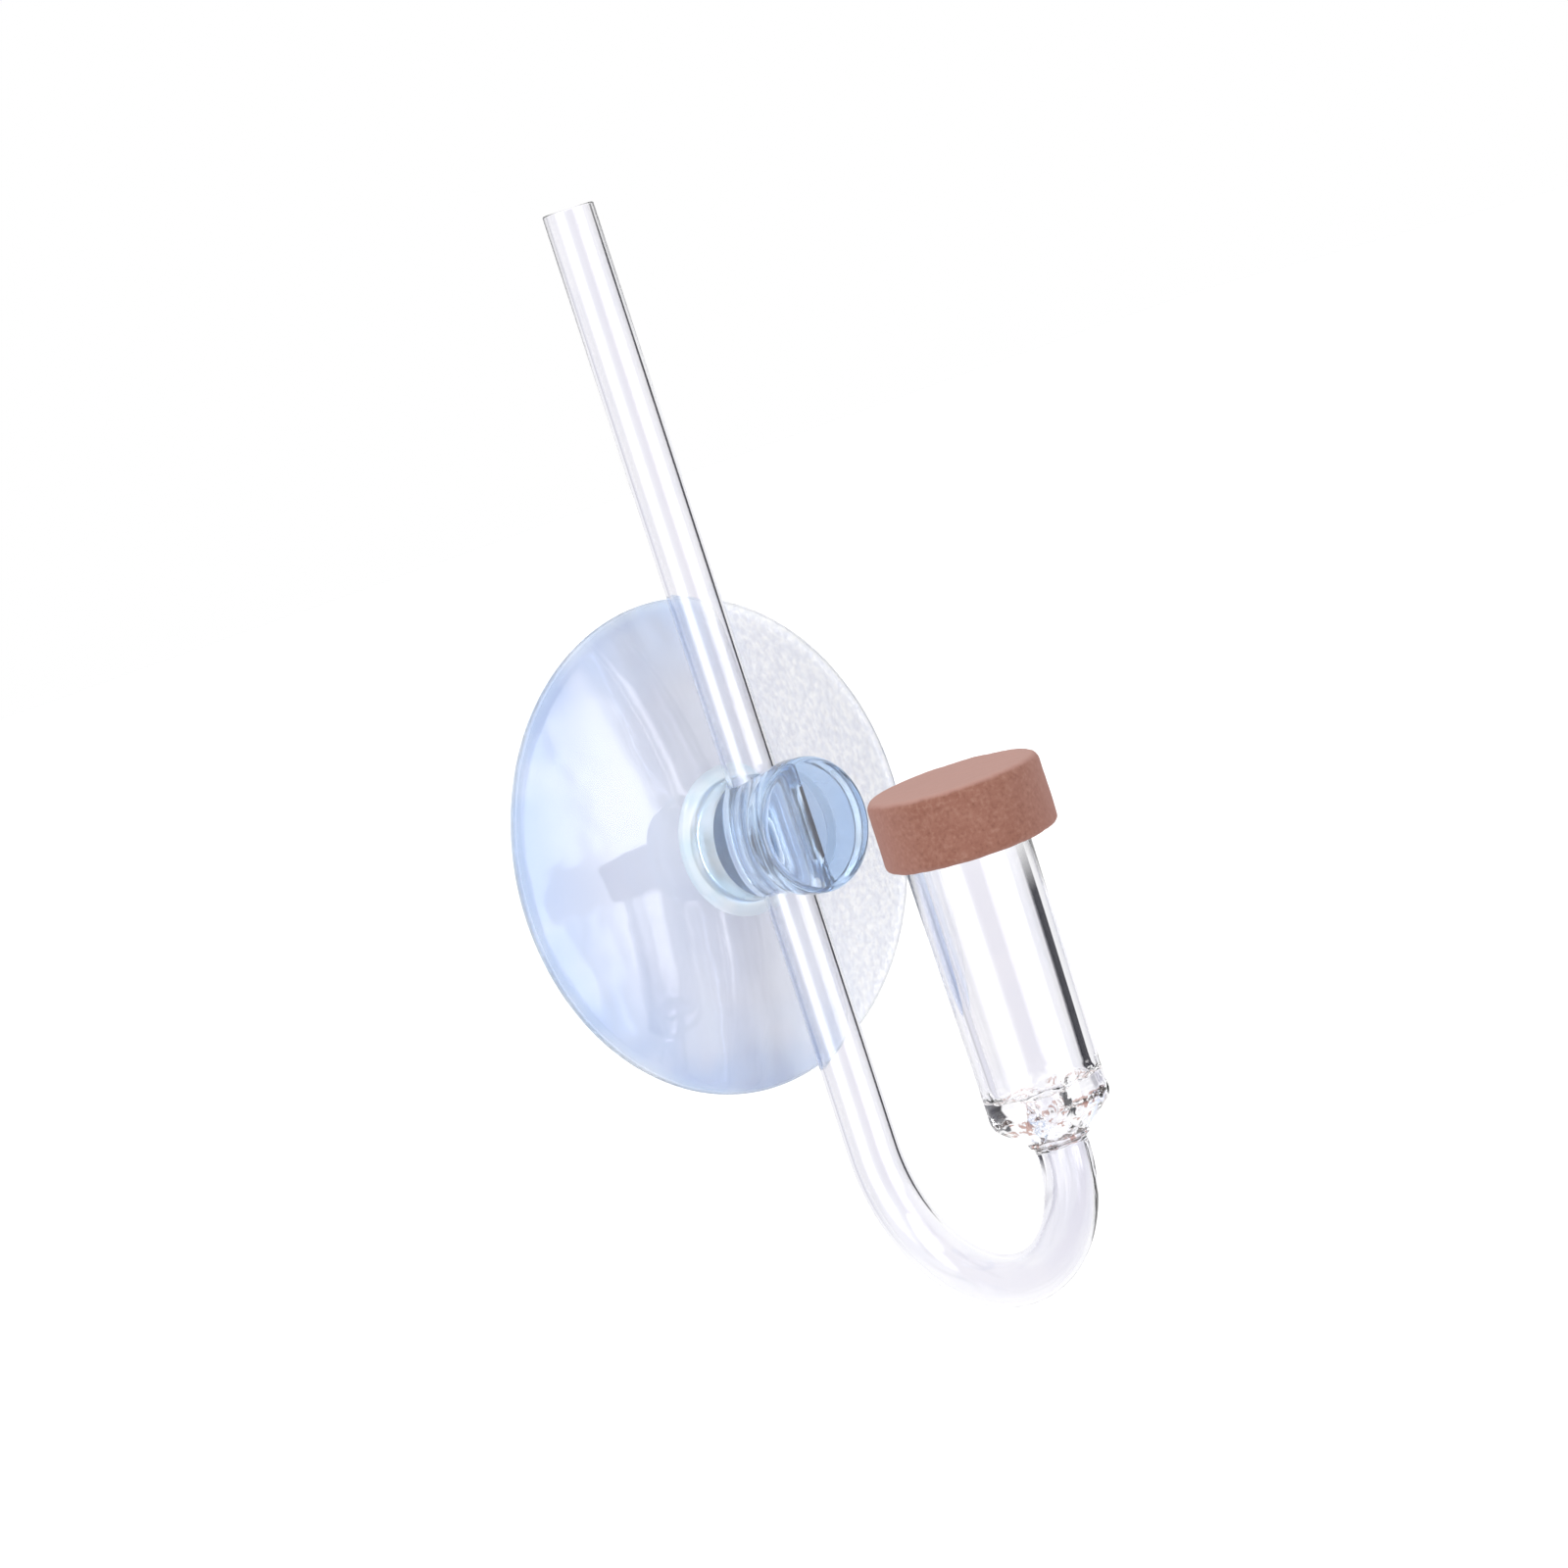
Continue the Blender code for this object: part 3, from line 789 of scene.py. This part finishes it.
def cup_region(face, cup_radius, hole_y, hole_radius):
    """The region of the cup that a face belongs to."""
    place = face.center
    across = Vector((place.x, place.z)).length
    from_hole = Vector((place.x, place.y - hole_y))
    in_hole = from_hole.length < hole_radius + 0.01 * MM and abs(place.z) < LINE_HALF_LENGTH
    # Faces on one side of the hole's wall get the painted shade line.
    if in_hole and LINE_ANGLES[0] < degrees(atan2(from_hole.y, from_hole.x)) < LINE_ANGLES[1]:
        return "line"
    if across > cup_radius - RIM_THICKNESS / 2:
        return "rim"
    if face.normal.y > 0.3 and place.y > -HOLLOW_DEPTH - 0.1 * MM:
        return "hollow"
    if across > BARREL_RADIUS + FOOT_FILLET:
        return "disc"
    foot_top = DOME_HEIGHT + FOOT_FILLET + MILKY_FOOT_HEIGHT
    if across > BARREL_RADIUS - 0.02 * MM and -place.y < foot_top:
        return "foot"
    return "knob"


def drill_hole(cup, hole_y, hole_radius, surface):
    """Cuts the tube's vertical hole through the knob, and returns the cut mesh."""
    reach = HEAD_RADIUS + 2 * MM
    outline = [(0.0, -reach)]
    for step in range(HOLE_ROWS + 1):
        outline.append((hole_radius, -reach + 2 * reach * step / HOLE_ROWS))
    outline.append((0.0, reach))
    cutter = revolved("tube_hole", outline, HOLE_SEGMENTS, surface)
    cutter.location = (0.0, hole_y, 0.0)
    bpy.context.view_layer.update()
    modifier = cup.modifiers.new("tube_hole", "BOOLEAN")
    modifier.operation = "DIFFERENCE"
    modifier.solver = "EXACT"
    modifier.object = cutter
    view = bpy.context.evaluated_depsgraph_get()
    cut_mesh = bpy.data.meshes.new_from_object(cup.evaluated_get(view))
    cup.modifiers.clear()
    bpy.data.objects.remove(cutter, do_unlink=True)
    return cut_mesh


def build_cup(surfaces):
    """The suction cup and its knob, one moulding with a material for each region."""
    cup_size = node_box("suction_cup")[1]
    tube_centre, tube_size, _, _ = node_box("stem_tube")
    cup_radius = cup_size.x / 2
    hole_radius = tube_size.x / 2 + HOLE_CLEARANCE
    outline = cup_outline(cup_radius, cup_size.y + HEAD_STANDS_OUT)
    cup = revolved("soft_suction_cup", outline, CUP_SEGMENTS, surfaces["knob"])
    cup.data.transform(Matrix.Rotation(radians(90), 4, "X"))
    add_moulding_waves(cup.data, cup_radius)
    cup.data = drill_hole(cup, tube_centre.y, hole_radius, surfaces["knob"])
    regions = list(surfaces)
    cup.data.materials.clear()
    for region in regions:
        cup.data.materials.append(surfaces[region])
    for face in cup.data.polygons:
        face.material_index = regions.index(cup_region(face, cup_radius, tube_centre.y, hole_radius))
    cup.data.shade_smooth()
    cup.data.set_sharp_from_angle(angle=radians(SHARP_EDGE))
    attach(cup, "cup")
    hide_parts("suction_cup")
    return cup


# ---------------------------------------------------------------- stage

FLOOR_HALF_WIDTH = 3.0
FLOOR_DROP = 0.06


def build_floor(scene):
    """A plain pale floor, which the glass and the PVC don't show."""
    half = FLOOR_HALF_WIDTH
    floor_z = cad_low.z - FLOOR_DROP
    corners = [(x, y, floor_z) for x, y in ((-half, -half), (half, -half), (half, half), (-half, half))]
    mesh = bpy.data.meshes.new("floor")
    mesh.from_pydata(corners, [], [(0, 1, 2, 3)])
    floor = bpy.data.objects.new("floor", mesh)
    scene.collection.objects.link(floor)
    paint, _, shader = new_material("pale_floor")
    shader.inputs["Base Color"].default_value = (0.97, 0.97, 0.97, 1.0)
    shader.inputs["Roughness"].default_value = 1.0
    shader.inputs["Specular IOR Level"].default_value = 0.0
    mesh.materials.append(paint)
    floor.visible_transmission = False
    floor.visible_glossy = False


def build_stage():
    """The floor, the world and one soft key light."""
    scene = bpy.context.scene
    scene.view_settings.view_transform = "Standard"
    scene.view_settings.look = "None"
    build_floor(scene)
    scene.cycles.max_bounces = LIGHT_BOUNCES
    scene.cycles.transmission_bounces = LIGHT_BOUNCES
    scene.cycles.glossy_bounces = REFLECTION_BOUNCES
    build_world(scene)
    light = bpy.data.lights.new("key_sun", "SUN")
    light.energy = KEY_LIGHT_ENERGY
    light.angle = radians(KEY_LIGHT_SPREAD)
    key = bpy.data.objects.new("key_sun", light)
    key.rotation_euler = [radians(angle) for angle in KEY_LIGHT_TURN]
    scene.collection.objects.link(key)


CAMERA_WHITE = (1.0, 1.0, 1.0)
WHITE = (1.06, 1.06, 1.06)
PALE = (0.98, 0.98, 1.01)
SHADE = (0.92, 0.91, 0.96)
LAVENDER = (0.76, 0.76, 0.84)
GREY = (0.60, 0.60, 0.65)
DARK = (0.02, 0.02, 0.03)
SIDE = (0.45, 0.45, 0.50)
CAMERA_SIDE = (0.66, 0.66, 0.72)

# What the glass and the PVC see round the horizon, by degrees to the left of straight behind.
HORIZON = [
    (-180, CAMERA_SIDE), (-168, CAMERA_SIDE), (-164, WHITE), (-100, WHITE), (-97, DARK),
    (-36.5, DARK), (-34, WHITE), (-6, PALE), (-4.5, SHADE), (0.6, SHADE), (1.4, PALE),
    (35, PALE), (38, GREY), (43, GREY), (46, LAVENDER), (60, LAVENDER), (64, WHITE),
    (86, WHITE), (88, SIDE), (92, SIDE), (94, WHITE), (160, WHITE), (164, CAMERA_SIDE),
    (180, CAMERA_SIDE),
]

# Elevations in degrees between which the bands fade out, up and down.
HORIZON_TOP = (11, 20)

# Brightness that tall softboxes on each side of the camera add to the white.
SOFTBOXES = [
    (-180, 0.0), (-152, 0.0), (-146, 1.8), (-128, 2.0), (-125, 5.0), (-117, 5.0), (-114, 0.0),
    (112, 0.0), (120, 3.2), (152, 3.2), (160, 0.0), (180, 0.0),
]
SOFTBOX_TOP = (17, 27)

KEY_LIGHT_ENERGY = 0.9
KEY_LIGHT_SPREAD = 40
KEY_LIGHT_TURN = (35, 0, -55)
LIGHT_BOUNCES = 32
REFLECTION_BOUNCES = 12
SENSOR_WIDTH = 36.0


def horizon_ramp(tree, place, stops):
    """A colour ramp over the full circle. The first and last stops are half a turn left and right."""
    ramp = add_node(tree, "ShaderNodeValToRGB", {"Fac": place})
    elements = ramp.color_ramp.elements
    elements[0].color = (*stops[0][1], 1.0)
    elements[1].color = (*stops[-1][1], 1.0)
    for degrees_left, colour in stops[1:-1]:
        elements.new((degrees_left + 180) / 360).color = (*colour, 1.0)
    return ramp.outputs["Color"]


def build_world(scene):
    """White to the camera. Bands stand round the horizon behind the object and draw the glass's edges."""
    world = bpy.data.worlds.new("studio")
    scene.world = world
    world.use_nodes = True
    tree = world.node_tree
    direction = add_node(tree, "ShaderNodeTexCoord", {}).outputs["Generated"]
    settings = {"Vector": direction, "Angle": -radians(90 + CAMERA_AZIMUTH)}
    turned = add_node(tree, "ShaderNodeVectorRotate", settings, rotation_type="Z_AXIS").outputs[0]
    split = add_node(tree, "ShaderNodeSeparateXYZ", {0: turned}).outputs
    angle = add_node(tree, "ShaderNodeMath", {0: split["Y"], 1: split["X"]}, operation="ARCTAN2").outputs[0]
    place = stretch(tree, angle, -pi, pi)
    height = add_node(tree, "ShaderNodeMath", {0: split["Z"]}, operation="ABSOLUTE").outputs[0]

    def above(limits):
        return stretch(tree, height, sin(radians(limits[0])), sin(radians(limits[1])))

    bands = blend(tree, above(HORIZON_TOP), horizon_ramp(tree, place, HORIZON), (*WHITE, 1.0))
    boxes = [(degrees_left, (value, value, value)) for degrees_left, value in SOFTBOXES]
    glow = blend(tree, above(SOFTBOX_TOP), horizon_ramp(tree, place, boxes), (0.0, 0.0, 0.0, 1.0))
    seen = blend(tree, 1.0, bands, glow, "ADD")
    camera_ray = add_node(tree, "ShaderNodeLightPath", {}).outputs["Is Camera Ray"]
    seen = blend(tree, camera_ray, seen, (*CAMERA_WHITE, 1.0))
    tree.links.new(seen, tree.nodes["Background"].inputs["Color"])


def build_camera():
    """The photograph's camera."""
    scene = bpy.context.scene
    azimuth = radians(CAMERA_AZIMUTH)
    elevation = radians(CAMERA_ELEVATION)
    level = cos(elevation)
    back = Vector((sin(azimuth) * level, -cos(azimuth) * level, sin(elevation)))
    data = bpy.data.cameras.new("camera")
    data.lens = CAMERA_LENS
    data.sensor_width = SENSOR_WIDTH
    camera = bpy.data.objects.new("camera", data)
    turn = back.to_track_quat("Z", "Y").to_matrix().to_4x4()
    roll = Matrix.Rotation(radians(-CAMERA_ROLL), 4, "Z")
    camera.matrix_world = Matrix.Translation(CAMERA_TARGET + back * CAMERA_DISTANCE) @ turn @ roll
    scene.collection.objects.link(camera)
    scene.camera = camera


noise.seed_set(NOISE_SEED)
build_camera()
build_stage()
build_glass(glass_material(), stone_reflection_glass_material())
build_stone(stone_material())
build_sealant(sealant_material())
build_cup(cup_surfaces())
